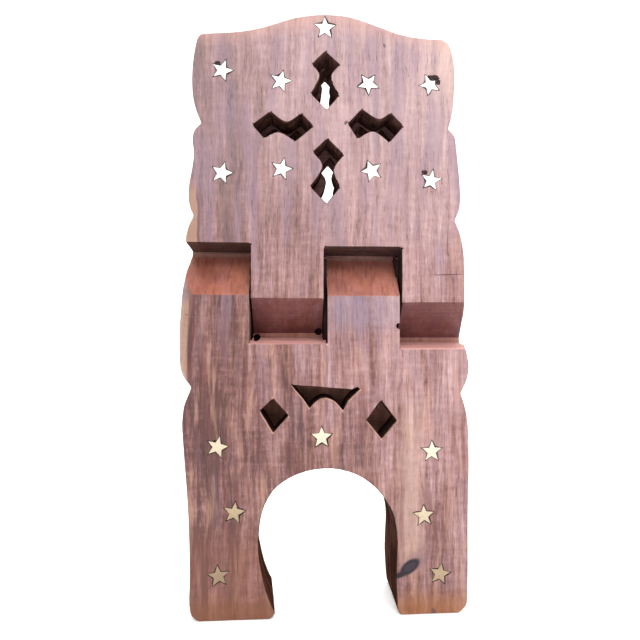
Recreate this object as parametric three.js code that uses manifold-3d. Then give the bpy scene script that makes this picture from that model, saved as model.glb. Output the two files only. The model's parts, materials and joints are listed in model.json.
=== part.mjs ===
// Folding book stand (rehal). One plank is sawn through its thickness into two leaves that stay
// hooked through each other by four knuckles, so the stand folds with no pin. Small brass stars
// are let into its faces. It is modelled folded flat and standing on its feet.
//
// Millimetres, +Z up, +X across the plank along the hinge, front face towards -Y. The hinge axis
// is the line y = 0, z = hingeHeight. Outlines are drawn with z measured from the hinge.

import * as THREE from 'three';
import { mergeVertices } from 'three/addons/utils/BufferGeometryUtils.js';
import Module from 'manifold-3d';

const wasm = await Module();
wasm.setup();

// ---- Driving dimensions ----

const hingeHeight = 170;          // feet to hinge axis
const layer = 19;                 // each leaf is half of a 38 mm plank
const sawGap = 0.6;               // left by the saw between the front and rear layers
const slopeInset = 5.4;           // slot edge to the end of the knuckle's slope, at mid-thickness
const wallInset = 2.8;            // the slot's far wall leans in by this much
const starRadius = 5.7;
const starThickness = 1.5;
const starGap = 0.3;              // clearance under and round each star
const drillDepth = 22;            // holes that let the saw blade into the plank
const tongueWidth = 18;           // tongues that nearly fill the cuts between knuckles, front to back
const tongueGap = 0.3;
const tongueRoot = 0.3;           // a tongue starts this far inside its own knuckle's side
const archTaper = 3.2;            // the arch's left wall leans out by this much from front to back
const rearLegRise = 14;           // the rear leg's openings sit this much higher than the front's

// How far the rounded sides beside the hinge stand proud at mid-thickness: [z, proud], rising in z.
const leftSwell = [[-54, 0], [-50, 1.8], [-42, 4.5], [-30, 6.2], [-18, 7.8], [-8, 9], [-2, 9.2],
  [4, 8.5], [10, 6.7], [18, 3.1], [25, 0]];
const rightSwell = [[-48, 0], [-38, 1.5], [-28, 3.3], [-22, 3.5], [-14, 2.9], [-4, 2.6], [4, 0]];

// Knuckles from left to right. A knuckle crosses from the face on one side of the hinge to the
// opposite face on the other side. nose: how far its front edge passes the hinge line.
// slot: height of the slot that it turns in, from the hinge line.
const knuckles = [
  { leaf: 'rear', left: -95, right: -40.6, nose: 1.3, slot: 28.3 },
  { leaf: 'front', left: -39.7, right: -0.9, nose: 0.8, slot: 25 },
  { leaf: 'rear', left: 0.8, right: 39.7, nose: 0.9, slot: 26.7 },
  { leaf: 'front', left: 40.8, right: 95, nose: 3, slot: 27.6 },
];

// ---- Materials ----

const wood = new THREE.MeshStandardMaterial({ color: 0x9c6f69, roughness: 0.62, metalness: 0 });
const darkWood = new THREE.MeshStandardMaterial({ color: 0x8a5a50, roughness: 0.65, metalness: 0 });
const brass = new THREE.MeshStandardMaterial({ color: 0xd9c99a, roughness: 0.35, metalness: 0.9 });

// ---- Solids ----

// Turns a closed three.js geometry into a solid that can be joined and cut.
function toSolid(geometry) {
  const bare = geometry.clone();
  bare.deleteAttribute('normal');
  bare.deleteAttribute('uv');
  const merged = mergeVertices(bare, 1e-4);
  const vertProperties = new Float32Array(merged.attributes.position.array);
  const triVerts = new Uint32Array(merged.index.array);
  return new wasm.Manifold(new wasm.Mesh({ numProp: 3, vertProperties, triVerts }));
}

// Turns a solid back into a flat-shaded geometry.
function toGeometry(solid) {
  const { vertProperties, triVerts } = solid.getMesh();
  const geometry = new THREE.BufferGeometry();
  geometry.setAttribute('position', new THREE.BufferAttribute(vertProperties, 3));
  geometry.setIndex(new THREE.BufferAttribute(triVerts, 1));
  geometry.computeVertexNormals();
  return geometry;
}

// Extrudes an outline drawn in x and z through the plank, from yFront back to yRear.
function prismThrough(shape, yFront, yRear, curveSegments = 6, steps = 1) {
  const depth = yRear - yFront;
  const geometry = new THREE.ExtrudeGeometry(shape, { depth, steps, curveSegments, bevelEnabled: false });
  geometry.rotateX(Math.PI / 2);
  geometry.translate(0, yRear, 0);
  return geometry;
}

// Extrudes a section given as [y, z] points along the hinge, from xLeft to xRight.
function prismAcross(section, xLeft, xRight) {
  const shape = new THREE.Shape(section.map(([y, z]) => new THREE.Vector2(y, z)));
  const geometry = new THREE.ExtrudeGeometry(shape, { depth: xRight - xLeft, bevelEnabled: false });
  const place = new THREE.Matrix4().set(0, 0, 1, xLeft, 1, 0, 0, 0, 0, 1, 0, 0, 0, 0, 0, 1);
  return toSolid(geometry.applyMatrix4(place));
}

// ---- Plank ----

// Each stretch of the outline is one smooth curve; the stretches meet at the carved notches.
// They run clockwise as seen from the front, starting at the left shoulder.
const topEdge = [
  [-65.4, 137.6], [-57.7, 138.3], [-47.2, 139.3], [-36.5, 141.3], [-25.8, 144.6], [-19, 147],
  [-13, 148.4], [-6, 149.6], [1.5, 150], [9, 149.6], [16, 148.3], [22, 146.4], [30, 143.7],
  [37.7, 141.1], [46, 139.4], [54, 138.7], [62.5, 138.5],
];
const rightRestSide = [
  [62.5, 138.5], [66, 136.4], [67.9, 132], [69.1, 126], [69.5, 118], [69.1, 107.7],
  [68, 98], [65.9, 90.6],
];
const rightWaist = [
  [65.9, 90.6], [68.8, 87.6], [69.9, 84.4], [71.1, 73.4], [72.2, 62.6], [72.6, 54.3], [71.9, 47.1],
  [69.5, 41.3],
];
const rightHingeSide = [
  [69.5, 41.3], [71.6, 36.2], [73.5, 29.8], [74.7, 19.8], [75, 8], [74.9, -4], [74.5, -14],
  [74.4, -24], [76.1, -30.5], [77.2, -36.7], [76.6, -42.7], [74.8, -47.6], [72.6, -51.6],
];
const rightLegSide = [
  [72.6, -51.6], [74.4, -56.9], [76, -63.6], [76.9, -72.5], [77.3, -86], [77.2, -100], [76.7, -122],
  [76.8, -145], [76.5, -160], [75.6, -166.3], [71.2, -170],
];
const arch = [
  [40.8, -170], [38.7, -167.5], [37.9, -158], [37.5, -148], [38, -137], [38.2, -128], [37.2, -120.5],
  [34.7, -113], [30.6, -106.5], [25, -100.4], [17, -95], [8, -91.9], [-1, -91.1], [-11, -92.6],
  [-20, -96.3], [-26.5, -100.8], [-31, -107], [-33.9, -114.5], [-35.2, -123], [-35.5, -133],
  [-34.4, -142], [-31.8, -154], [-28.6, -162.8], [-26.8, -167], [-29.8, -170],
];
const leftLegSide = [
  [-66.7, -170], [-70.5, -167], [-71.7, -160], [-71.5, -148], [-71.7, -129], [-72.3, -110.8],
  [-73.6, -92.3], [-74.8, -76], [-75.4, -67.8], [-75, -61], [-73.9, -55.4], [-70.4, -47.6],
];
const leftHingeSide = [
  [-70.4, -47.6], [-73, -43.6], [-74.2, -38.5], [-73.9, -33], [-73.1, -27], [-71.6, -14.5],
  [-70.3, -7], [-69.9, 0.5], [-70.2, 8], [-71.4, 17], [-72.9, 25], [-73.3, 31], [-71.6, 37.6],
  [-69.3, 42.3],
];
const leftWaist = [
  [-69.3, 42.3], [-71, 46.2], [-72, 52], [-71.6, 59], [-70.2, 67], [-69.2, 75], [-69.9, 82],
  [-68.9, 87.2], [-65.3, 91],
];
const leftRestSide = [
  [-65.3, 91], [-68.3, 98.2], [-69.9, 106], [-70.3, 114.4], [-69.8, 122.4], [-68.7, 129.6],
  [-67.3, 135.2], [-65.4, 137.6],
];

function toVectors(points) {
  return points.map(([x, z]) => new THREE.Vector2(x, z));
}

function plankOutline() {
  const shape = new THREE.Shape();
  shape.moveTo(...topEdge[0]);
  const rightStretches = [topEdge, rightRestSide, rightWaist, rightHingeSide, rightLegSide];
  const leftStretches = [leftLegSide, leftHingeSide, leftWaist, leftRestSide];
  for (const stretch of rightStretches) {
    shape.splineThru(toVectors(stretch.slice(1)));
  }
  shape.lineTo(...arch[0]);
  shape.splineThru(toVectors(arch.slice(1)));
  shape.lineTo(...leftLegSide[0]);
  for (const stretch of leftStretches) {
    shape.splineThru(toVectors(stretch.slice(1)));
  }
  return shape;
}

// Reads a curve of [z, value] points at a height; it is zero beyond both ends.
function readCurve(curve, z) {
  const after = curve.findIndex(([height]) => height > z);
  if (after < 1) {
    return 0;
  }
  const [z0, value0] = curve[after - 1];
  const [z1, value1] = curve[after];
  return THREE.MathUtils.mapLinear(z, z0, z1, value0, value1);
}

const sidesFrom = 60;             // only the plank's sides lie further than this from its middle

// Beside the hinge the plank's sides are rounded: full at mid-thickness, drawn in at the faces.
function swellSides(geometry) {
  const position = geometry.attributes.position;
  for (let i = 0; i < position.count; i += 1) {
    const x = position.getX(i);
    const z = position.getZ(i);
    if (Math.abs(x) > sidesFrom) {
      const round = 1 - (position.getY(i) / layer) ** 2;
      const proud = x < 0 ? -readCurve(leftSwell, z) : readCurve(rightSwell, z);
      position.setX(i, x + proud * round);
    }
  }
  return geometry;
}

// The left wall of the arch was sawn off square, from its haunch down to the foot.
const haunchTop = -98;
const haunchFoot = -124;

function taperArch(geometry) {
  const position = geometry.attributes.position;
  for (let i = 0; i < position.count; i += 1) {
    const x = position.getX(i);
    if (x < 0 && x > -sidesFrom) {
      const depth = (position.getY(i) + layer) / (2 * layer);
      const lean = 1 - THREE.MathUtils.smoothstep(position.getZ(i), haunchFoot, haunchTop);
      position.setX(i, x - archTaper * depth * lean);
    }
  }
  return geometry;
}

// ---- Knuckles ----

const mid = sawGap / 2;
const far = 200;                  // past the ends of the plank
const arcSteps = 6;               // a tongue's end is an arc of this many steps

// Section of the leaf whose knuckle crosses here, for a knuckle running from the lower front
// to the upper rear.
function crossingSection({ nose, slot }) {
  const slope = slot - slopeInset;
  return [
    [-layer, -far], [-mid, -far], [-mid, -slope], [layer, -nose],
    [layer, far], [mid, far], [mid, slope], [-layer, nose],
  ];
}

// The other leaf's two layers there, which stop at the slot's walls.
function slottedSections({ slot }) {
  const inner = slot - wallInset;
  return [
    [[-layer, slot], [-mid, inner], [-mid, far], [-layer, far]],
    [[layer, -slot], [mid, -inner], [mid, -far], [layer, -far]],
  ];
}

function upsideDown(section) {
  return section.map(([y, z]) => [y, -z]).reverse();
}

// Deep in the plank the cuts between knuckles are narrow. In each cut, a tongue on the side of the
// rear leaf's knuckle leaves only that narrow gap. It ends in an arc about the hinge where the front
// leaf turns past it, and elsewhere it runs on into the rear leaf's own layer.
function tongueSection(ownKnuckle, otherKnuckle) {
  const radius = ownKnuckle.slot - wallInset - tongueGap;
  const reach = Math.asin(tongueWidth / 2 / radius);
  const half = [];
  for (let i = 0; i <= arcSteps; i += 1) {
    const angle = THREE.MathUtils.lerp(-reach, 0, i / arcSteps);
    half.push([radius * Math.sin(angle), radius * Math.cos(angle)]);
  }
  half.push([mid, otherKnuckle.slot], [tongueWidth / 2, otherKnuckle.slot]);
  return [...half, ...half.map(([y, z]) => [-y, -z])];
}

function tongues() {
  return knuckles.slice(1).map((knuckle, i) => {
    const before = knuckles[i];
    return knuckle.leaf === 'front'
      ? prismAcross(tongueSection(before, knuckle), before.right - tongueRoot, knuckle.left - tongueGap)
      : prismAcross(tongueSection(knuckle, before), before.right + tongueGap, knuckle.left + tongueRoot);
  });
}

// A section's points have to run anticlockwise for the prism to face outwards; THREE.Shape
// turns them when the prism is made.
function leafRegion(leaf) {
  const overlap = 5;              // slotted layers run this far into the neighbouring knuckles
  let region = null;
  for (const knuckle of knuckles) {
    const turn = knuckle.leaf === 'rear' ? (section) => section : upsideDown;
    const crosses = knuckle.leaf === leaf;
    const sections = crosses ? [crossingSection(knuckle)] : slottedSections(knuckle);
    const grow = crosses ? 0 : overlap;
    for (const section of sections) {
      const block = prismAcross(turn(section), knuckle.left - grow, knuckle.right + grow);
      region = region ? region.add(block) : block;
    }
  }
  return region;
}

// ---- Openings ----

// Two squares standing on their corners, joined by a waist. The eight points run round it: tip,
// shoulder, waist, shoulder, tip, shoulder, waist, shoulder.
function doubleDiamond([tip, a, waistA, b, farTip, c, waistC, d]) {
  const shape = new THREE.Shape();
  shape.moveTo(...tip);
  shape.lineTo(...a);
  shape.splineThru(toVectors([waistA, b]));
  shape.lineTo(...farTip);
  shape.lineTo(...c);
  shape.splineThru(toVectors([waistC, d]));
  shape.closePath();
  return shape;
}

function polygon(points) {
  return new THREE.Shape(toVectors(points));
}

const restOpenings = {
  upper: [[-0.2, 130.4], [7.4, 123.5], [2.7, 116.8], [6.9, 107.2], [0.4, 99.7], [-7.8, 107.7],
    [-3.2, 117.3], [-7.2, 123.2]],
  lower: [[0.7, 84], [9.3, 75.6], [4.1, 68], [7.2, 58.5], [0.4, 49.8], [-8.1, 58.5],
    [-1.7, 69.2], [-6.6, 76.8]],
  left: [[-38.5, 90.5], [-29.4, 97.6], [-20.8, 92.2], [-13.2, 96.9], [-6.8, 90.4], [-16, 82.4],
    [-24.7, 87], [-32.5, 83.8]],
  right: [[11.8, 92.4], [18.8, 100], [28, 94.7], [34.6, 98.1], [41.3, 91.5], [33.9, 82.9],
    [25, 88.5], [16.9, 84.5]],
};
const legDiamonds = [
  [[-28, -53.8], [-19.7, -63], [-27.8, -72.1], [-34.9, -60.3]],
  [[29.5, -55.1], [38.1, -66.5], [30.1, -76.2], [21.6, -65.7]],
];
const legScallop = {
  outer: [[9.3, -60.8], [12, -55.4], [18.5, -49], [16.2, -48], [14, -49.4], [-18.4, -46.7],
    [-11.6, -54.8], [-8.6, -59.4]],
  arc: [[-4.8, -55.4], [-0.3, -53.8], [4.6, -55.6], [9.3, -60.8]],
};

function scallopedOpening() {
  const shape = new THREE.Shape();
  shape.moveTo(...legScallop.outer[0]);
  for (const point of legScallop.outer.slice(1)) {
    shape.lineTo(...point);
  }
  shape.splineThru(toVectors(legScallop.arc));
  return shape;
}

// The rear rest's openings are the front's, cut narrower about the middle of each.
function narrowed(points, share, dx, dz) {
  const xs = points.map(([x]) => x);
  const zs = points.map(([, z]) => z);
  const centreX = (Math.min(...xs) + Math.max(...xs)) / 2;
  const centreZ = (Math.min(...zs) + Math.max(...zs)) / 2;
  return points.map(([x, z]) => [
    centreX + (x - centreX) * share + dx,
    centreZ + (z - centreZ) * Math.min(1, share + 0.15) + dz,
  ]);
}

const frontFace = -layer;
const rearFace = layer;
const overrun = 1;                // cutters run this far past a face

function cutter(shape, side, lift = 0) {
  const yFront = side === 'front' ? frontFace - overrun : 0;
  const yRear = side === 'front' ? 0 : rearFace + overrun;
  return toSolid(prismThrough(shape, yFront, yRear).translate(0, 0, lift));
}

function frontRestCutters() {
  return Object.values(restOpenings).map((points) => cutter(doubleDiamond(points), 'front'));
}

function rearRestCutters() {
  const { upper, lower, left, right } = restOpenings;
  return [
    narrowed(upper, 0.8, 1.6, 1),
    narrowed(lower, 0.85, 2.6, -4),
    narrowed(left, 0.8, 0, -1.5),
    narrowed(right, 0.8, 0, -1.5),
  ].map((points) => cutter(doubleDiamond(points), 'rear'));
}

function legCutters(side) {
  const lift = side === 'rear' ? rearLegRise : 0;
  const shapes = [...legDiamonds.map(polygon), scallopedOpening()];
  return shapes.map((shape) => cutter(shape, side, lift));
}

// Blade holes at the slots' inner corners: [x, z, radius] from the front, and the same from the
// rear above the hinge.
const drillHoles = [[-37.6, -21.9, 1.9], [-3.1, -18.8, 2], [39.1, -15.4, 1.6]];

function drillCutters() {
  return drillHoles.flatMap(([x, z, radius]) => [-1, 1].map((side) => {
    const length = drillDepth + overrun;
    const bit = new THREE.CylinderGeometry(radius, radius, length, 20);
    bit.translate(x, side * (layer + overrun - length / 2), side < 0 ? z : -z);
    return toSolid(bit);
  }));
}

// ---- Stars ----

// Centres on the front face, and the angle of one tip from straight up, anticlockwise as seen
// from the front, in degrees.
const restStars = [
  [-0.5, 142.6, 0], [-54.5, 118.6, -90], [-23.9, 113.8, -86], [22.7, 113.4, 180],
  [55.8, 114, 26], [-54.6, 64.8, -86], [-23.3, 67.5, -86], [24.3, 67.2, 93], [56.6, 62.8, -82],
];
const legStars = [
  [-2.3, -74.3, 0], [-57, -78.7, -88], [56.8, -82.6, 0], [-48.2, -113.2, -8],
  [52.5, -117, 3], [-56.4, -146.3, 6], [61.2, -148.5, -10],
];
const starWaist = 0.44;           // inner radius over outer radius
const tipCount = 5;

function starShape(outer, inner) {
  const points = [];
  for (let i = 0; i < 2 * tipCount; i += 1) {
    const radius = i % 2 === 0 ? outer : inner;
    const angle = Math.PI / 2 + (i * Math.PI) / tipCount;
    points.push([radius * Math.cos(angle), radius * Math.sin(angle)]);
  }
  return polygon(points);
}

// A star's place on the front; the rear face carries the same pattern, seen from behind.
function placeStar(geometry, [x, z, turn], side) {
  const rotation = new THREE.Matrix4().makeRotationY(THREE.MathUtils.degToRad(-turn));
  const position = new THREE.Matrix4().makeTranslation(x, 0, z);
  geometry.applyMatrix4(rotation).applyMatrix4(position);
  if (side === 'rear') {
    geometry.rotateZ(Math.PI);
  }
  return geometry;
}

// A star's tips are sharp, so the same clearance all round lengthens them more than its waist.
const tipGap = starGap * 2.6;
const waistGap = starGap * 1.2;

function starRecess(star, side) {
  const shape = starShape(starRadius + tipGap, starRadius * starWaist + waistGap);
  const floor = frontFace + starThickness + starGap;
  return toSolid(placeStar(prismThrough(shape, frontFace - overrun, floor), star, side));
}

function starMesh(star, side, name) {
  const shape = starShape(starRadius, starRadius * starWaist);
  const geometry = placeStar(prismThrough(shape, frontFace, frontFace + starThickness), star, side);
  return namedMesh(geometry, brass, name);
}

// ---- Assembly ----

function namedMesh(geometry, material, name) {
  const mesh = new THREE.Mesh(geometry, material);
  mesh.name = name;
  return mesh;
}

function cutAll(solid, cutters) {
  return cutters.reduce((left, tool) => left.subtract(tool), solid);
}

function frontRestLeaf(plank) {
  const leaf = plank.intersect(leafRegion('front'));
  const stars = [
    ...restStars.map((star) => starRecess(star, 'front')),
    ...legStars.map((star) => starRecess(star, 'rear')),
  ];
  return cutAll(leaf, [...frontRestCutters(), ...legCutters('rear'), ...stars, ...drillCutters()]);
}

function rearRestLeaf(plank) {
  const region = tongues().reduce((joined, tongue) => joined.add(tongue), leafRegion('rear'));
  const leaf = plank.intersect(region);
  const stars = [
    ...restStars.map((star) => starRecess(star, 'rear')),
    ...legStars.map((star) => starRecess(star, 'front')),
  ];
  return cutAll(leaf, [...rearRestCutters(), ...legCutters('front'), ...stars, ...drillCutters()]);
}

const sideSteps = 6;              // the rounded sides are made of this many strips
const outlineSegments = 2;        // between two points of the outline
const plankGeometry = prismThrough(plankOutline(), frontFace, rearFace, outlineSegments, sideSteps);
const plank = toSolid(taperArch(swellSides(plankGeometry)));

const stand = new THREE.Group();
stand.add(namedMesh(toGeometry(frontRestLeaf(plank)), wood, 'front_rest_leaf'));
stand.add(namedMesh(toGeometry(rearRestLeaf(plank)), darkWood, 'rear_rest_leaf'));
for (const side of ['front', 'rear']) {
  restStars.forEach((star, i) => stand.add(starMesh(star, side, `${side}_rest_star_${i + 1}`)));
  legStars.forEach((star, i) => stand.add(starMesh(star, side, `${side}_leg_star_${i + 1}`)));
}

// Stand it on its feet, with the origin under the middle of the plank.
const box = new THREE.Box3().setFromObject(stand);
stand.position.set(-(box.min.x + box.max.x) / 2, 0, hingeHeight);

export default stand;
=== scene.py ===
"""A folding book stand (rehal) sawn from one plank of rosewood, with small brass stars let into its
faces. Metres, +Z up, +X across the plank along the hinge, front face towards -Y. The two leaves of the
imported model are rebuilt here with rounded, hand-worked edges, and each of its stars as a hand-cut one
set in lac.
"""

import json
import math
import random

import bmesh
import bpy
from mathutils import Matrix, Vector, noise


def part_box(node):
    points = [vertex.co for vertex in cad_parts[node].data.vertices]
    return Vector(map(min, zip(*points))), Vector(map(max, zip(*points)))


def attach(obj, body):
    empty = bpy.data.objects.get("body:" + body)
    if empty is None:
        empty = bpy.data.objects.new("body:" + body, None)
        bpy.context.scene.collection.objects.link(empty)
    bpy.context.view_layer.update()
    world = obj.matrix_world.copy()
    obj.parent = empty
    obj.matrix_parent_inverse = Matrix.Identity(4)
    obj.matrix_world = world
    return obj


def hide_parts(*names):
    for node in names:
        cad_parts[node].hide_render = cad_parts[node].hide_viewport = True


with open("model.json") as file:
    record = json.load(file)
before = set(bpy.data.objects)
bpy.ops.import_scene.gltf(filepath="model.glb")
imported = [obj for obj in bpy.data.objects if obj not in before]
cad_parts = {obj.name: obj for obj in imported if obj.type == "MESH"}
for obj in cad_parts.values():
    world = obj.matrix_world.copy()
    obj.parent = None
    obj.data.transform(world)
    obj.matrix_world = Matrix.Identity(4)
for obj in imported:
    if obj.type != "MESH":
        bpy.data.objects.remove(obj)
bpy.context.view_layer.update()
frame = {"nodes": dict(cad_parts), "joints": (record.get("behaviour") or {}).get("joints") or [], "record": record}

MM = 0.001
LEAVES = {
    "front_rest_leaf": ("front_rest_board", "front_rest_body", "front_rest_wood"),
    "rear_rest_leaf": ("rear_rest_board", "rear_rest_body", "rear_rest_wood"),
}
HINGE = Vector(frame["joints"][0]["pos_m"])
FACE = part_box("front_rest_leaf")[1].y          # half of the plank's thickness
TOP_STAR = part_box("front_rest_star_1")
# The carving was laid out from a centre line half a millimetre to the right of the top star.
CENTRE_X = (TOP_STAR[0].x + TOP_STAR[1].x) / 2 + 0.5 * MM

# ---- Sizes ----

EDGE_ROUND = 0.75 * MM              # radius worn on the edges
CELL = 4.5 * MM                     # the faces are cut into cells this wide, which the drift can bend
EDGE_ANGLE = math.radians(28)       # faces that meet more sharply than this have their edge rounded
CREASE_ANGLE = math.radians(40)     # and more sharply than this are shaded as a crease
SAW_GAP_REACH = 1.5 * MM            # edges this near to mid-thickness lie in the saw gap
STAR_DEPTH = 2.2 * MM               # a star's recess is within this of its middle, through the plank
STAR_REACH = 7.6 * MM               # and within this of it across the face
STAR_WOBBLE = 0.2 * MM              # how far a hand-cut star's corners stray
LAC_MARGIN = 0.75 * MM              # how far the lac spreads round a star
DRILL_REACH = 2.6                   # a blade hole's rim is within this of its middle, in millimetres
# The blade holes' middles in millimetres: across from the centre line, and from the hinge.
DRILLED = ((-37.6, 21.9), (-3.1, 18.8), (39.1, 15.4))
HINGE_ZONE = 32 * MM                # the knuckles and slots are within this of the hinge line
SLOT_ZONE = 50 * MM                 # walls further across than this are the plank's own sides
CARVED_ZONE = 46 * MM               # the arch and the openings are within this of the middle
ARCH_TOP = 84 * MM                  # above the floor
REST_OPENINGS = (45 * MM, 132 * MM)     # above the hinge line
LEG_OPENINGS = (-85 * MM, -30 * MM)

random.seed(7)


def srgb(red, green, blue):
    """A colour given as 0-255 screen values, as the linear colour that shaders use."""
    linear = [((c / 255 + 0.055) / 1.055) ** 2.4 if c > 10 else c / 3294.6 for c in (red, green, blue)]
    return (*linear, 1.0)


# ---- Node helpers ----


class Graph:
    """Adds nodes to a node tree. Inputs are numbers, colours or the sockets of other nodes."""

    def __init__(self, tree):
        self.tree = tree

    def node(self, kind, inputs=None, **settings):
        made = self.tree.nodes.new("ShaderNode" + kind)
        for key, value in settings.items():
            setattr(made, key, value)
        for key, value in (inputs or {}).items():
            if isinstance(value, bpy.types.NodeSocket):
                self.tree.links.new(value, made.inputs[key])
            else:
                made.inputs[key].default_value = value
        return made

    def math(self, operation, a, b=0.0, clamp=False):
        return self.node("Math", {0: a, 1: b}, operation=operation, use_clamp=clamp).outputs[0]

    def add(self, a, b):
        return self.math("ADD", a, b)

    def scale(self, a, b):
        return self.math("MULTIPLY", a, b)

    def step(self, value, start, end):
        """0 before start and 1 after end, with a smooth rise. Start may be the larger."""
        inputs = {0: value, 1: start, 2: end}
        return self.node("MapRange", inputs, interpolation_type="SMOOTHSTEP").outputs[0]

    def within(self, value, low, high, soft):
        rise = self.step(value, low - soft, low + soft)
        return self.scale(rise, self.step(value, high + soft, high - soft))

    def stretch(self, vector, factors):
        return self.node("VectorMath", {0: vector, 1: factors}, operation="MULTIPLY").outputs[0]

    def shift(self, vector, offset):
        return self.node("VectorMath", {0: vector, 1: offset}, operation="ADD").outputs[0]

    def noise(self, vector, factors, detail=2.0, roughness=0.5, offset=0.0):
        """Noise from about 0.25 to 0.75. Factors are the detail's fineness along x, y and z."""
        moved = self.shift(self.stretch(vector, factors), (offset, offset * 0.7, offset * 1.3))
        inputs = {"Vector": moved, "Scale": 1.0, "Detail": detail, "Roughness": roughness}
        return self.node("TexNoise", inputs).outputs[0]

    def mix(self, share, a, b, blend="MIX"):
        inputs = {0: share, 6: a, 7: b}
        return self.node("Mix", inputs, data_type="RGBA", blend_type=blend).outputs[2]

    def ramp(self, value, stops):
        made = self.node("ValToRGB", {0: value})
        elements = made.color_ramp.elements
        while len(elements) < len(stops):
            elements.new(0.5)
        for element, (position, colour) in zip(elements, stops):
            element.position = position
            element.color = colour
        return made.outputs[0]

    def blob(self, x, z, centre, size, turn=0.0):
        """1 in the middle of an ellipse, 0 on its rim and negative outside. Size is its two half axes."""
        dx = self.math("SUBTRACT", x, centre[0])
        dz = self.math("SUBTRACT", z, centre[1])
        cos, sin = math.cos(math.radians(turn)), math.sin(math.radians(turn))
        along = self.add(self.scale(dx, cos / size[0]), self.scale(dz, sin / size[0]))
        across = self.add(self.scale(dx, -sin / size[1]), self.scale(dz, cos / size[1]))
        squares = self.add(self.math("POWER", along, 2.0), self.math("POWER", across, 2.0))
        return self.math("SUBTRACT", 1.0, self.math("SQRT", squares))


# ---- Rosewood ----
# Distances in the wood are millimetres: x from the centre line, z above the hinge.

ROSEWOOD = [
    (0.00, srgb(92, 58, 56)),
    (0.18, srgb(124, 84, 80)),
    (0.34, srgb(150, 110, 106)),
    (0.50, srgb(172, 134, 134)),
    (0.68, srgb(196, 160, 158)),
    (0.85, srgb(215, 184, 181)),
    (1.00, srgb(230, 204, 198)),
]
MAUVE = srgb(146, 122, 138)
TAN = srgb(198, 150, 128)
SAPWOOD = srgb(182, 142, 120)
FOOT_GOLD = srgb(166, 104, 50)
FOOT_BROWN = srgb(132, 82, 50)
INK = srgb(34, 24, 32)


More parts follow.
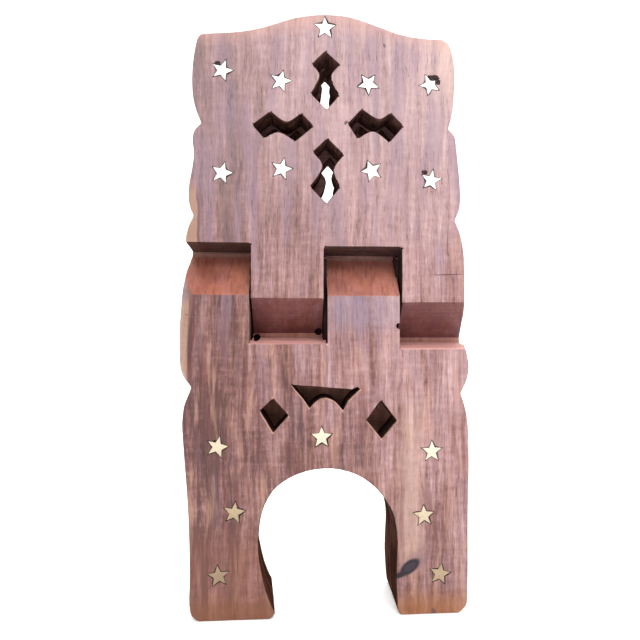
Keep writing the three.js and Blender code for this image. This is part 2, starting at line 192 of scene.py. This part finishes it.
def rosewood_group():
    """The wood's colour and its fine relief at any point, as one node group used by every wood material."""
    tree = bpy.data.node_groups.new("rosewood", "ShaderNodeTree")
    tree.interface.new_socket("Colour", in_out="OUTPUT", socket_type="NodeSocketColor")
    tree.interface.new_socket("Relief", in_out="OUTPUT", socket_type="NodeSocketFloat")
    tree.interface.new_socket("Gloss", in_out="OUTPUT", socket_type="NodeSocketFloat")
    tree.interface.new_socket("Place", in_out="OUTPUT", socket_type="NodeSocketVector")
    g = Graph(tree)
    place = g.node("TexCoord").outputs["Object"]
    place = g.shift(g.stretch(place, (1000, 1000, 1000)), (-CENTRE_X / MM, 0, -HINGE.z / MM))
    x, y, z = g.node("SeparateXYZ", {0: place}).outputs

    # The grain runs up the plank and wanders sideways.
    wander = g.noise(place, (0.013, 0.02, 0.009), detail=1.5)
    ripple = g.noise(place, (0.05, 0.05, 0.06), detail=1.0, offset=9.0)
    sway = g.add(g.scale(wander, 7.0), g.scale(ripple, 1.8))
    grain = g.node("CombineXYZ", {0: g.add(x, sway), 1: y, 2: z}).outputs[0]
    bands = g.noise(grain, (0.10, 0.07, 0.012), detail=2.0, offset=3.0)
    streaks = g.noise(grain, (0.40, 0.25, 0.024), detail=3.0, roughness=0.6, offset=21.0)
    fibres = g.noise(grain, (1.7, 1.3, 0.11), detail=3.0, roughness=0.6, offset=5.0)
    figure = g.noise(grain, (0.10, 0.1, 0.30), detail=2.5, roughness=0.6, offset=14.0)
    flecks = g.noise(grain, (1.1, 0.9, 0.34), detail=3.0, roughness=0.65, offset=37.0)

    # Paler towards the top and the right: partly the wood's own tone, partly painted light.
    tone = g.add(g.scale(x, 0.0026), g.scale(z, 0.0013))
    low_right = g.scale(g.within(z, -62, -20, 12), g.step(x, -5, 25))
    left_leg = g.scale(g.step(z, -80, -105), g.step(x, -15, -35))
    tone = g.add(tone, g.add(g.scale(low_right, 0.05), g.scale(left_leg, 0.10)))
    rest_left = g.scale(g.step(x, -15, -50), g.step(z, 5, 40))
    rest_right = g.scale(g.step(x, 38, 55), g.within(z, -24, 72, 14))
    tone = g.math("SUBTRACT", tone, g.add(g.scale(rest_left, 0.09), g.scale(rest_right, 0.12)))
    under_left = g.scale(g.step(x, -30, -50), g.within(z, -60, 4, 10))
    under_middle = g.scale(g.within(x, -26, 26, 12), g.within(z, -92, -58, 12))
    tone = g.math("SUBTRACT", tone, g.scale(g.add(under_left, under_middle), 0.05))
    left_edge = g.scale(g.step(x, -56, -68), 0.14)
    tone = g.math("SUBTRACT", tone, left_edge)
    tone = g.math("ADD", tone, 0.355, clamp=True)
    strength = g.math("SUBTRACT", 1.45, g.scale(tone, 0.85))
    spread = g.scale(g.math("SUBTRACT", bands, 0.5), 0.60)
    spread = g.add(spread, g.scale(g.math("SUBTRACT", streaks, 0.5), 0.76))
    spread = g.add(spread, g.scale(g.math("SUBTRACT", fibres, 0.5), 0.40))
    spread = g.add(spread, g.scale(g.math("SUBTRACT", figure, 0.5), 0.34))
    spread = g.add(spread, g.scale(g.math("SUBTRACT", flecks, 0.5), 0.32))
    value = g.add(tone, g.scale(spread, strength))
    colour = g.ramp(value, ROSEWOOD)

    # Greyer and pinker above, a painted sheen of varnish haze; redder and browner below.
    painted_sheen = g.mix(0.30, colour, srgb(188, 168, 172))
    colour = g.mix(g.step(z, -30, 100), colour, painted_sheen)
    cool = g.step(g.noise(grain, (0.15, 0.1, 0.016), offset=31.0), 0.48, 0.64)
    cool = g.scale(cool, g.add(g.scale(g.step(z, -70, 10), 0.36), 0.12))
    colour = g.mix(cool, colour, MAUVE)
    warm = g.step(g.noise(grain, (0.19, 0.1, 0.024), detail=3.0, roughness=0.6, offset=47.0), 0.50, 0.68)
    colour = g.mix(g.scale(warm, g.step(z, 120, -60)), colour, g.mix(0.46, colour, TAN))
    red = g.step(g.noise(grain, (0.36, 0.2, 0.026), offset=53.0), 0.55, 0.66)
    red = g.scale(red, g.step(z, 40, -60))
    colour = g.mix(g.scale(red, 0.45), colour, srgb(122, 72, 66))

    # Short dark pores.
    pores = g.step(g.noise(grain, (2.6, 1.6, 0.17), detail=1.0, offset=63.0), 0.63, 0.70)
    pores = g.scale(pores, g.step(streaks, 0.62, 0.40))
    colour = g.mix(g.scale(pores, 0.32), colour, g.mix(1.0, colour, srgb(122, 82, 82), "MULTIPLY"))

    colour = local_colours(g, colour, x, y, z, fibres, ripple)

    relief = g.add(g.scale(fibres, 0.6), g.scale(streaks, 0.5))
    relief = g.math("SUBTRACT", relief, g.scale(pores, 0.7))
    out = g.tree.nodes.new("NodeGroupOutput")
    for socket, source in zip(out.inputs, (colour, relief, bands, place)):
        g.tree.links.new(source, socket)
    return tree


def local_colours(g, colour, x, y, z, fibres, ripple):
    """Sapwood, the worn and varnished places, the knot and the small marks."""
    rough = g.scale(g.math("SUBTRACT", fibres, 0.5), 6.0)
    wavy_x = g.add(x, g.scale(g.math("SUBTRACT", ripple, 0.5), 5.0))
    front = g.step(y, -2.0, -12.0)

    # Sapwood on the left: a strip beside the rest, and the swelling beside the hinge.
    strip = g.scale(g.step(wavy_x, -66.5, -67.5), g.within(z, 18, 58, 6))
    swelling = g.scale(g.step(g.add(x, g.scale(y, -0.16)), -69.0, -70.5), g.within(z, -46, -2, 4))
    edge_line = g.scale(g.within(wavy_x, -66.0, -64.8, 0.6), g.within(z, 18, 62, 10))
    colour = g.mix(g.scale(edge_line, 0.55), colour, srgb(132, 106, 118))
    colour = g.mix(g.scale(strip, 0.7), colour, SAPWOOD)
    colour = g.mix(g.scale(swelling, 0.8), colour, SAPWOOD)

    # Paler beige bands at the top right and down the right leg.
    corner = g.scale(g.step(wavy_x, 52, 63), g.step(g.add(z, rough), 92, 122))
    colour = g.mix(g.scale(corner, 0.26), colour, srgb(228, 196, 174))
    leg = g.scale(g.within(wavy_x, 41, 50, 5), g.within(z, -142, -60, 14))
    colour = g.mix(g.scale(leg, 0.4), colour, srgb(220, 186, 168))

    # Varnish gathers in a warm rim along the top edge and the feet.
    crown = g.step(g.add(z, g.add(rough, g.scale(g.math("ABSOLUTE", x), 0.16))), 138, 150)
    colour = g.mix(g.scale(crown, 0.40), colour, srgb(214, 164, 146))
    feet = g.step(g.add(z, rough), -153, -168)
    gold = g.mix(g.step(x, -20, 40), FOOT_BROWN, FOOT_GOLD)
    shin = g.scale(g.step(g.add(z, rough), -112, -136), g.step(x, -15, -30))
    colour = g.mix(g.scale(shin, 0.40), colour, srgb(128, 76, 54))
    uneven = g.add(g.scale(fibres, 0.9), 0.15)
    colour = g.mix(g.scale(feet, uneven), colour, gold)

    # Grey bloom just under the hinge line on the right-hand crossing.
    bloom = g.scale(g.within(x, 2, 40, 3), g.within(g.add(z, rough), -17, 2, 6))
    colour = g.mix(g.scale(g.scale(bloom, front), 0.36), colour, srgb(150, 138, 156))

    # The knot in the right foot, with its dark rim and tail.
    bent_x = g.add(x, g.scale(g.math("SUBTRACT", ripple, 0.5), 3.0))
    knot = g.blob(bent_x, z, (44.9, -144.4), (5.9, 3.1), 38)
    tail = g.blob(bent_x, z, (40.2, -148.3), (4.2, 1.5), 22)
    shadow = g.blob(bent_x, z, (48.0, -141.6), (8.6, 5.6), 36)
    body = g.math("MAXIMUM", g.step(knot, -0.25, 0.18), g.step(tail, -0.35, 0.35))
    colour = g.mix(g.scale(g.scale(g.step(shadow, -0.2, 0.6), front), 0.5), colour, srgb(140, 106, 112))
    colour = g.mix(g.scale(body, front), colour, INK)
    heart = g.scale(g.step(knot, 0.22, 0.62), front)
    colour = g.mix(g.scale(heart, 0.25), colour, srgb(84, 68, 86))

    # A saw line on the right finger, a scratch on the left, a nick and a few flecks.
    for centre, size, turn, share in (
        ((66.0, 12.2), (10.5, 0.42), 2, 0.8),
        ((-71.0, -9.6), (5.2, 0.35), -3, 0.9),
        ((10.6, 92.6), (1.5, 1.0), 60, 0.9),
        ((31.2, 134.2), (0.8, 1.5), 30, 0.7),
        ((61.0, -111.0), (1.0, 0.8), 0, 0.7),
        ((58.0, -169.0), (1.6, 3.0), 20, 0.8),
        ((54.0, -28.0), (2.2, 0.5), 80, 0.3),
        ((-30.0, 25.0), (2.6, 0.4), 85, 0.35),
        ((18.0, 110.0), (3.4, 0.4), 88, 0.4),
    ):
        mark = g.step(g.blob(x, z, centre, size, turn), -0.1, 0.5)
        colour = g.mix(g.scale(g.scale(mark, front), share), colour, srgb(92, 60, 72))
    return colour


WOOD = rosewood_group()


def new_material(name):
    material = bpy.data.materials.new(name)
    material.use_nodes = True
    material.node_tree.nodes.clear()
    return material, Graph(material.node_tree)


def shade(g, colour, roughness, height=None, depth=0.0, **extra):
    """A surface with this colour and roughness, and a bump of this depth in metres."""
    inputs = {"Base Color": colour, "Roughness": roughness}
    if height is not None:
        bump = g.node("Bump", {"Strength": 1.0, "Distance": depth, "Height": height})
        inputs["Normal"] = bump.outputs[0]
    inputs.update({key.replace("_", " "): value for key, value in extra.items()})
    shader = g.node("BsdfPrincipled", inputs)
    g.node("OutputMaterial", {0: shader.outputs[0]})


def timber(
    name, tint, share, roughness, relief,
    lines=None, line_share=0.0, line_tint=INK, stain=None, rim=None, shine=0.4,
):
    """A worked surface of the wood.

    tint and share: a colour that the wood's own is pulled towards. lines: the fineness along x, y and z
    of the tool marks. stain: (colour, share, fineness) of uneven darker patches. rim: the colour of the
    first millimetres in from the plank's face.
    """
    material, g = new_material(name)
    wood = g.node("Group", node_tree=WOOD)
    colour, height, gloss, place = wood.outputs
    if tint:
        colour = g.mix(share, colour, tint)
    height = g.scale(height, relief)
    if stain:
        stain_colour, stain_share, fineness = stain
        patches = g.step(g.noise(place, (fineness,) * 3, detail=3.0, offset=77.0), 0.42, 0.62)
        colour = g.mix(g.scale(patches, stain_share), colour, stain_colour)
    if lines:
        marks = g.noise(place, lines, detail=2.0, roughness=0.6, offset=11.0)
        colour = g.mix(g.scale(g.step(marks, 0.50, 0.66), line_share), colour, line_tint)
        height = g.math("SUBTRACT", height, g.scale(marks, 1.2))
    # The rim paints light on the first millimetres in from the plank's face.
    if rim:
        through = g.node("SeparateXYZ", {0: place}).outputs[1]
        depth = g.math("SUBTRACT", FACE / MM, g.math("ABSOLUTE", through))
        depth = g.add(depth, g.scale(g.noise(place, (0.4, 0.1, 0.4), offset=19.0), 3.0))
        colour = g.mix(g.step(depth, 4.6, 2.8), colour, rim)
    rough = g.add(g.scale(gloss, 0.25), roughness - 0.12)
    shade(g, colour, rough, height, 0.00022, Specular_IOR_Level=shine)
    return material


FINISHES = {
    "face": timber("rosewood_face", None, 0.0, 0.50, 1.0),
    "side": timber(
        "rosewood_side", srgb(170, 120, 100), 0.25, 0.55, 1.0,
        lines=(0.5, 0.08, 0.9), line_share=0.25, line_tint=srgb(112, 72, 64),
    ),
    # Crossings facing up: the cut wood's orange, painted brighter as lit from above.
    "slope_up": timber(
        "rosewood_crossing_up_painted_lit", srgb(186, 102, 72), 0.68, 0.60, 0.8,
        lines=(0.55, 0.1, 0.07), line_share=0.40, line_tint=srgb(116, 56, 44),
        stain=(srgb(118, 66, 62), 0.45, 0.045),
    ),
    # Crossings facing down: the same cut wood painted dark red-brown as shade.
    "slope_down": timber(
        "rosewood_crossing_down_painted_shade", srgb(98, 42, 36), 0.80, 0.60, 0.8,
        lines=(0.02, 1.3, 1.3), line_share=0.25, line_tint=srgb(74, 30, 30),
        stain=(srgb(84, 40, 46), 0.45, 0.045),
    ),
    # Painted shade: the slot tops facing down are painted near black-brown.
    "underside": timber(
        "rosewood_slot_top_painted_shade", srgb(58, 34, 27), 0.90, 0.85, 0.8, shine=0.0,
        lines=(0.03, 0.9, 0.9), line_share=0.55, line_tint=srgb(34, 22, 20),
    ),
    # Painted highlight: the slot sills facing up are painted pale pink.
    "lip": timber(
        "rosewood_slot_sill_painted_highlight", srgb(242, 180, 172), 0.80, 0.60, 0.8,
        lines=(0.02, 0.9, 0.5), line_share=0.50, line_tint=srgb(140, 80, 74),
    ),
    # Painted shade: near black for kerf walls facing left, hidden saw steps, star recesses and blade holes.
    "kerf": timber(
        "rosewood_kerf_painted_shade", srgb(30, 19, 17), 0.92, 0.85, 0.8, shine=0.0,
        lines=(0.6, 0.9, 0.1), line_share=0.5, line_tint=srgb(20, 14, 14),
    ),
    "cheek": timber(
        "rosewood_cheek", srgb(132, 112, 84), 0.80, 0.75, 0.8,
        lines=(0.6, 0.9, 0.1), line_share=0.4, line_tint=srgb(70, 52, 40),
    ),
    # Painted shade: the openings' walls are painted dark brown, with near black patches.
    "opening": timber(
        "rosewood_opening_painted_shade", srgb(82, 48, 37), 0.90, 0.9, 0.8, shine=0.0,
        lines=(0.5, 0.05, 0.5), line_share=0.6, line_tint=srgb(26, 16, 16),
        stain=(srgb(22, 14, 14), 0.6, 0.12),
    ),
    # Legs' up-facing sills: painted shade deep in, with a painted lit rim near the plank's face.
    "sill": timber(
        "rosewood_leg_sill_painted_rim_light", srgb(44, 26, 22), 0.88, 0.7, 0.8, shine=0.1,
        lines=(0.5, 0.05, 0.5), line_share=0.5, line_tint=srgb(20, 12, 10), rim=srgb(206, 162, 140),
    ),
    "arch": timber(
        "rosewood_arch", srgb(66, 40, 30), 0.90, 0.9, 1.0, shine=0.0,
        lines=(0.10, 0.6, 0.04), line_share=0.7, line_tint=srgb(26, 15, 12),
        stain=(srgb(34, 20, 16), 0.6, 0.05),
    ),
    "inner": timber(
        "rosewood_sawn", srgb(176, 116, 92), 0.55, 0.75, 0.7,
        lines=(0.05, 0.3, 1.1), line_share=0.30, line_tint=srgb(112, 66, 54),
    ),
    "inner_dark": timber(
        "rosewood_sawn_dark", srgb(116, 72, 58), 0.80, 0.75, 0.7,
        lines=(0.03, 0.3, 0.9), line_share=0.55, line_tint=srgb(62, 34, 30),
    ),
    "sole": timber(
        "rosewood_sole", srgb(132, 92, 66), 0.5, 0.8, 1.0,
        lines=(0.4, 0.4, 0.4), line_share=0.5, line_tint=srgb(70, 46, 38),
    ),
}
FINISH_ORDER = list(FINISHES)


def lac_material():
    material, g = new_material("dark_lac")
    place = g.stretch(g.node("TexCoord").outputs["Object"], (1000, 1000, 1000))
    grains = g.noise(place, (1.6, 1.6, 1.6), detail=3.0)
    colour = g.ramp(grains, [(0.35, srgb(22, 16, 17)), (0.52, srgb(52, 38, 38)), (0.70, srgb(112, 86, 80))])
    shade(g, colour, 0.6, grains, 0.0005, Specular_IOR_Level=0.15)
    return material


def brass_material():
    """Brass with a painted gleam: near white high on the stand, fading to duller and browner towards the feet,
    with worn patches and scratches.
    """
    material, g = new_material("brass_painted_gleam")
    place = g.stretch(g.node("TexCoord").outputs["Object"], (1000, 1000, 1000))
    x, _, z = g.node("SeparateXYZ", {0: place}).outputs
    # Painted gleam: the colour runs from near white high up to dull brown low down.
    height = g.add(g.scale(z, 1 / 260), g.scale(x, 1 / 1000))
    colour = g.ramp(height, [
        (0.03, srgb(150, 128, 102)), (0.17, srgb(178, 156, 126)), (0.25, srgb(206, 188, 160)),
        (0.38, srgb(230, 219, 196)), (0.55, srgb(253, 250, 240)), (1.0, srgb(255, 253, 248)),
    ])
    patches = g.noise(place, (0.45, 0.45, 0.45), detail=3.0)
    worn = g.scale(g.step(patches, 0.48, 0.70), g.step(z, 120, 20))
    colour = g.mix(g.scale(worn, 0.4), colour, srgb(150, 128, 98))
    scratches = g.noise(place, (0.5, 0.5, 5.0), detail=2.0, offset=4.0)
    colour = g.mix(g.scale(g.step(scratches, 0.60, 0.66), 0.25), colour, srgb(150, 122, 84))
    roughness = g.add(0.22, g.scale(patches, 0.35))
    shade(g, colour, roughness, scratches, 0.00006, Metallic=0.35)
    return material


LAC = lac_material()
BRASS = brass_material()


# ---- Leaves ----


def drift(point):
    """How far a point of the stand is from true, because it was cut and rasped by hand."""
    slow = noise.noise_vector(point * 38) * 0.16 * MM
    quick = noise.noise_vector(point * 130 + Vector((5, 5, 5))) * 0.07 * MM
    return slow + quick


def worked(point):
    moved = point + drift(point)
    if point.z < 0.5 * MM:
        moved.z = point.z
    return moved


def star_centre(node):
    """The middle of a CAD star, and its corners."""
    corners = {tuple(round(c, 6) for c in v.co) for v in frame["nodes"][node].data.vertices}
    total = Vector((0, 0, 0))
    for corner in corners:
        total += Vector(corner)
    return total / len(corners), [Vector(c) for c in corners]


STARS = {name: star_centre(name) for name in sorted(frame["nodes"]) if "star" in name}


def near_star(point):
    for centre, _ in STARS.values():
        across = math.hypot(point.x - centre.x, point.z - centre.z)
        if abs(point.y - centre.y) < STAR_DEPTH and across < STAR_REACH:
            return True
    return False


def near_drill(point):
    across, up = (point.x - CENTRE_X) / MM, abs(point.z - HINGE.z) / MM
    return any(math.hypot(across - x, up - z) < DRILL_REACH for x, z in DRILLED)


def in_a_cut(verts):
    """True for the walls and floors of the star recesses and the blade holes."""
    return all(near_star(v.co) for v in verts) or all(near_drill(v.co) for v in verts)


def finish_of(face):
    """Which finish a flat face of a CAD leaf gets, from where it is and which way it looks."""
    n, c = face.normal, face.calc_center_median()
    x, y, z = c.x, abs(c.y), c.z - HINGE.z
    near_hinge = abs(z) < HINGE_ZONE
    # Star recesses and blade holes get the kerf's painted shade.
    if in_a_cut(face.verts):
        return "kerf"
    if abs(n.y) > 0.9:
        if y > FACE - 0.5 * MM:
            return "face"
        # Saw steps back from the face get the kerf's painted shade.
        if y > 3 * MM:
            return "kerf"
        return "inner_dark" if z > 0 else "inner"
    if c.z < 1.5 * MM and n.z < -0.9:
        return "sole"
    # Crossings facing up get painted light, those facing down painted shade.
    if near_hinge and abs(n.x) < 0.15 and abs(n.z) < 0.9:
        return "slope_up" if n.z > 0 else "slope_down"
    # Slot sills facing up get the painted highlight, slot tops facing down the painted shade.
    if near_hinge and abs(n.x) < 0.15:
        return "lip" if n.z > 0 else "underside"
    # Kerf walls facing right keep the tan cheek colour; the others get the kerf's painted shade.
    if near_hinge and abs(x) < SLOT_ZONE:
        return "cheek" if n.x > 0 and y > 6 * MM else "kerf"
    if abs(x) < CARVED_ZONE and c.z < ARCH_TOP:
        return "arch"
    # The openings' walls get painted shade; the legs' up-facing sills a painted lit rim over painted shade.
    if abs(x) < CARVED_ZONE and any(low < z < high for low, high in (REST_OPENINGS, LEG_OPENINGS)):
        return "sill" if z < 0 and n.z > 0.3 else "opening"
    return "side"


def cut_grid(bm, spacing):
    """Cuts the faces into small cells, so that the drift can bend them."""
    lows = [min(v.co[i] for v in bm.verts) for i in range(3)]
    highs = [max(v.co[i] for v in bm.verts) for i in range(3)]
    for axis in (0, 2):
        normal = Vector((axis == 0, 0, axis == 2))
        place = lows[axis] + spacing
        while place < highs[axis] - spacing / 2:
            geometry = bm.verts[:] + bm.edges[:] + bm.faces[:]
            bmesh.ops.bisect_plane(bm, geom=geometry, plane_co=normal * place, plane_no=normal)
            place += spacing


def build_leaf(node, name, body):
    bm = bmesh.new()
    bm.from_mesh(frame["nodes"][node].data)
    bmesh.ops.remove_doubles(bm, verts=bm.verts, dist=0.002 * MM)
    bmesh.ops.dissolve_limit(bm, angle_limit=math.radians(0.5), verts=bm.verts, edges=bm.edges)
    bmesh.ops.remove_doubles(bm, verts=bm.verts, dist=0.25 * MM)
    bm.normal_update()
    for face in bm.faces:
        face.material_index = FINISH_ORDER.index(finish_of(face))
    outer = []
    for edge in bm.edges:
        if not edge.is_manifold or edge.calc_face_angle(0) < EDGE_ANGLE:
            continue
        middle = (edge.verts[0].co + edge.verts[1].co) / 2
        in_kerf = all(FINISH_ORDER[f.material_index] in ("kerf", "cheek") for f in edge.link_faces)
        if abs(middle.y) > SAW_GAP_REACH and not in_a_cut(edge.verts) and not in_kerf:
            outer.append(edge)
    bmesh.ops.bevel(
        bm, geom=outer, offset=EDGE_ROUND, offset_type="OFFSET", segments=3, profile=0.5,
        affect="EDGES", clamp_overlap=False, material=-1, miter_outer="ARC",
    )
    cut_grid(bm, CELL)
    bmesh.ops.triangulate(bm, faces=bm.faces)
    bmesh.ops.dissolve_degenerate(bm, dist=0.005 * MM, edges=bm.edges)
    for vertex in bm.verts:
        vertex.co = worked(vertex.co)
    bm.normal_update()
    for edge in bm.edges:
        edge.smooth = edge.is_manifold and edge.calc_face_angle(0) < CREASE_ANGLE
    for face in bm.faces:
        face.smooth = True
    mesh = bpy.data.meshes.new(name)
    bm.to_mesh(mesh)
    bm.free()
    for finish in FINISH_ORDER:
        mesh.materials.append(FINISHES[finish])
    board = add_piece(mesh, name, body)
    weighted = board.modifiers.new("even_shading", "WEIGHTED_NORMAL")
    weighted.keep_sharp = True
    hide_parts(node)
    return board


def add_piece(mesh, name, body):
    piece = bpy.data.objects.new(name, mesh)
    bpy.context.scene.collection.objects.link(piece)
    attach(piece, body)
    return piece


# ---- Stars ----

# Sections from the deepest ring up, as (outline moved out by, outline scaled by, height above the
# plank's face), in millimetres.
STAR_SECTION = ((0, 0.97, -1.3), (0, 1, -1.1), (0, 1, 0.02), (-0.10, 1, 0.12), (-0.32, 1, 0.17))
LAC_SECTION = ((0, 0.9, -1.55), (0, 1, -0.5), (0, 1, 0), (-0.2, 1, 0.04))
LUMP_SECTION = ((0, 1, -0.4), (0, 1, 0.05), (0, 0.8, 0.24), (0, 0.45, 0.32))


def stack(bm, outline, centre, section):
    """Loops of vertices, one above the other, for a piece let into the plank's face."""
    side = 1 if centre.y > 0 else -1
    rings = []
    for by, scale, height in section:
        y = side * (FACE + height * MM)
        rings.append([
            bm.verts.new((centre.x + side * -px * scale, y, centre.z + pz * scale))
            for px, pz in grown(outline, by * MM)
        ])
    return rings


def skin(bm, rings):
    """Closes a stack of rings into a solid, first ring deepest."""
    count = len(rings[0])
    for low, high in zip(rings, rings[1:]):
        for i in range(count):
            j = (i + 1) % count
            bm.faces.new((low[i], low[j], high[j], high[i]))
    for loop in (list(reversed(rings[0])), rings[-1]):
        middle = bm.verts.new(sum((v.co for v in loop), Vector()) / count)
        for i in range(count):
            bm.faces.new((loop[i], loop[(i + 1) % count], middle))


def star_points(centre, corners, wobble):
    """The ten corners of a star in the plane of its face, turned round it from its CAD solid, in metres.

    Each is [across, up], with across reversed on the front, so that both faces run the same way.
    """
    side = 1 if centre.y > 0 else -1
    flat = {(round(c.x, 5), round(c.z, 5)): c for c in corners}
    points = sorted(
        ((-side * (c.x - centre.x), c.z - centre.z) for c in flat.values()),
        key=lambda p: math.atan2(p[1], p[0]),
    )
    return [
        (px + random.uniform(-wobble, wobble), pz + random.uniform(-wobble, wobble))
        for px, pz in points
    ]


def grown(points, by):
    """The outline moved outwards from its middle by this distance, in metres."""
    made = []
    for px, pz in points:
        length = math.hypot(px, pz)
        made.append((px * (1 + by / length), pz * (1 + by / length)))
    return made


def lac_outline(points, margin):
    """An uneven outline round a star, rounder than the star itself."""
    made = []
    count = len(points)
    slip_x, slip_z = random.uniform(-0.35, 0.35) * MM, random.uniform(-0.4, 0.3) * MM
    for i, (px, pz) in enumerate(points):
        nx, nz = points[(i + 1) % count]
        for t in (0.0, 0.5):
            mx, mz = px + (nx - px) * t, pz + (nz - pz) * t
            length = math.hypot(mx, mz)
            extra = margin * random.uniform(0.45, 1.25) * (0.55 if length > 5 * MM else 1.15)
            made.append((mx * (1 + extra / length) + slip_x, mz * (1 + extra / length) + slip_z))
    return made


def build_star(node, points):
    centre = STARS[node][0]
    bm = bmesh.new()
    skin(bm, stack(bm, points, centre, STAR_SECTION))
    bmesh.ops.triangulate(bm, faces=bm.faces)
    bmesh.ops.recalc_face_normals(bm, faces=bm.faces)
    for vertex in bm.verts:
        vertex.co += drift(centre)
    mesh = bpy.data.meshes.new(node + "_cut")
    bm.to_mesh(mesh)
    bm.free()
    mesh.materials.append(BRASS)
    body = next(b for b, members in frame["record"]["behaviour"]["bodies"].items() if node in members)
    star = add_piece(mesh, node + "_cut", body)
    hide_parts(node)
    return body


def add_lac(bm, node, points):
    """The dark filler that holds a star, a little wider than its recess."""
    centre = STARS[node][0]
    rings = stack(bm, lac_outline(points, LAC_MARGIN), centre, LAC_SECTION)
    for loop in rings:
        for vertex in loop:
            vertex.co += drift(centre)
    skin(bm, rings)


def add_lump(bm, node, offset, size):
    """A smear of lac left over part of a star. Offset and size are millimetres across and up."""
    centre = STARS[node][0] + Vector((offset[0], 0, offset[1])) * MM
    count = 14
    outline = []
    for i in range(count):
        angle = 2 * math.pi * i / count
        reach = random.uniform(0.75, 1.15) * MM
        outline.append((math.cos(angle) * size[0] * reach, math.sin(angle) * size[1] * reach))
    skin(bm, stack(bm, outline, centre, LUMP_SECTION))


# Smears of lac over a star: their offset from its middle and their half size, in millimetres.
LUMPS = {
    "front_rest_star_5": [((1.6, 3.4), (3.6, 1.9)), ((4.2, 1.6), (1.6, 1.8))],
    "front_rest_star_9": [((-3.6, 4.0), (1.8, 1.2))],
    "front_rest_star_2": [((-2.6, 3.6), (1.8, 1.3))],
    "front_leg_star_2": [((-1.4, 3.0), (1.0, 0.7))],
}

for node, (name, body, slot) in LEAVES.items():
    build_leaf(node, name, body)

lac_beds = {}
for node in STARS:
    points = star_points(*STARS[node], STAR_WOBBLE)
    body = build_star(node, points)
    if body not in lac_beds:
        lac_beds[body] = bmesh.new()
    add_lac(lac_beds[body], node, points)
    for offset, size in LUMPS.get(node, []):
        add_lump(lac_beds[body], node, offset, size)

for body, bm in lac_beds.items():
    bmesh.ops.triangulate(bm, faces=bm.faces)
    bmesh.ops.recalc_face_normals(bm, faces=bm.faces)
    mesh = bpy.data.meshes.new(body.replace("_body", "_lac"))
    bm.to_mesh(mesh)
    bm.free()
    mesh.materials.append(LAC)
    add_piece(mesh, mesh.name, body)


# ---- Studio ----


def build_sweep():
    """A pale floor that curves up into a backdrop behind the stand."""
    wide, front, back, radius, high = 3.0, -2.5, 0.75, 0.55, 2.6
    profile = [(front, 0.0), (back - radius, 0.0)]
    for i in range(1, 17):
        angle = math.pi / 2 * i / 16
        profile.append((back - radius + radius * math.sin(angle), radius - radius * math.cos(angle)))
    profile.append((back, high))
    bm = bmesh.new()
    left = [bm.verts.new((-wide, y, z)) for y, z in profile]
    right = [bm.verts.new((wide, y, z)) for y, z in profile]
    for i in range(len(profile) - 1):
        bm.faces.new((left[i], right[i], right[i + 1], left[i + 1])).smooth = True
    mesh = bpy.data.meshes.new("studio_sweep")
    bm.to_mesh(mesh)
    bm.free()
    material, g = new_material("pale_floor")
    mottle = g.noise(g.node("TexCoord").outputs["Object"], (4, 4, 4))
    paper = g.ramp(mottle, [(0.3, srgb(249, 249, 248)), (0.7, srgb(252, 252, 251))])
    shade(g, paper, 0.9, Emission_Strength=0.25)
    mesh.materials.append(material)
    sweep = bpy.data.objects.new("studio_sweep", mesh)
    bpy.context.scene.collection.objects.link(sweep)


def add_light(name, place, target, size, power):
    data = bpy.data.lights.new(name, "AREA")
    data.shape = "SQUARE"
    data.size = size
    data.energy = power
    lamp = bpy.data.objects.new(name, data)
    bpy.context.scene.collection.objects.link(lamp)
    lamp.location = place
    lamp.rotation_euler = (Vector(target) - Vector(place)).to_track_quat("-Z", "Y").to_euler()


# Name, place, target, size in metres and power in watts.
LIGHTS = (
    ("key", (0.35, -1.15, 1.35), (0, 0, 0.17), 0.9, 14.9),
    ("fill", (-1.0, -1.3, 0.5), (0, 0, 0.17), 1.2, 3.6),
    ("backdrop", (0, -0.2, 2.2), (0, 0.75, 0.4), 1.6, 26),
    ("floor", (0, 0.5, 1.3), (0, 0.3, 0), 0.8, 7),
)


def build_studio():
    build_sweep()
    for light in LIGHTS:
        add_light(*light)
    world = bpy.data.worlds.new("studio")
    world.use_nodes = True
    background = world.node_tree.nodes["Background"]
    background.inputs[0].default_value = (1, 1, 1, 1)
    background.inputs[1].default_value = 0.31
    bpy.context.scene.world = world
    bpy.context.scene.view_settings.view_transform = "Standard"


CAMERA_PLACE = (CENTRE_X - 16.94 * MM, -304.7 * MM, 157.8 * MM)
CAMERA_YAW = math.radians(3.5)      # turned to the right
CAMERA_LENS = 30.375                # on a 36 mm sensor
CAMERA_SHIFT = -0.0109


def build_camera():
    data = bpy.data.cameras.new("camera")
    data.sensor_width = 36
    data.lens = CAMERA_LENS
    data.shift_x = CAMERA_SHIFT
    data.clip_start = 0.01
    camera = bpy.data.objects.new("camera", data)
    bpy.context.scene.collection.objects.link(camera)
    camera.location = CAMERA_PLACE
    camera.rotation_euler = Matrix.Rotation(-CAMERA_YAW, 3, "Z").to_euler()
    camera.rotation_euler.x = math.pi / 2
    bpy.context.scene.camera = camera


build_studio()
build_camera()
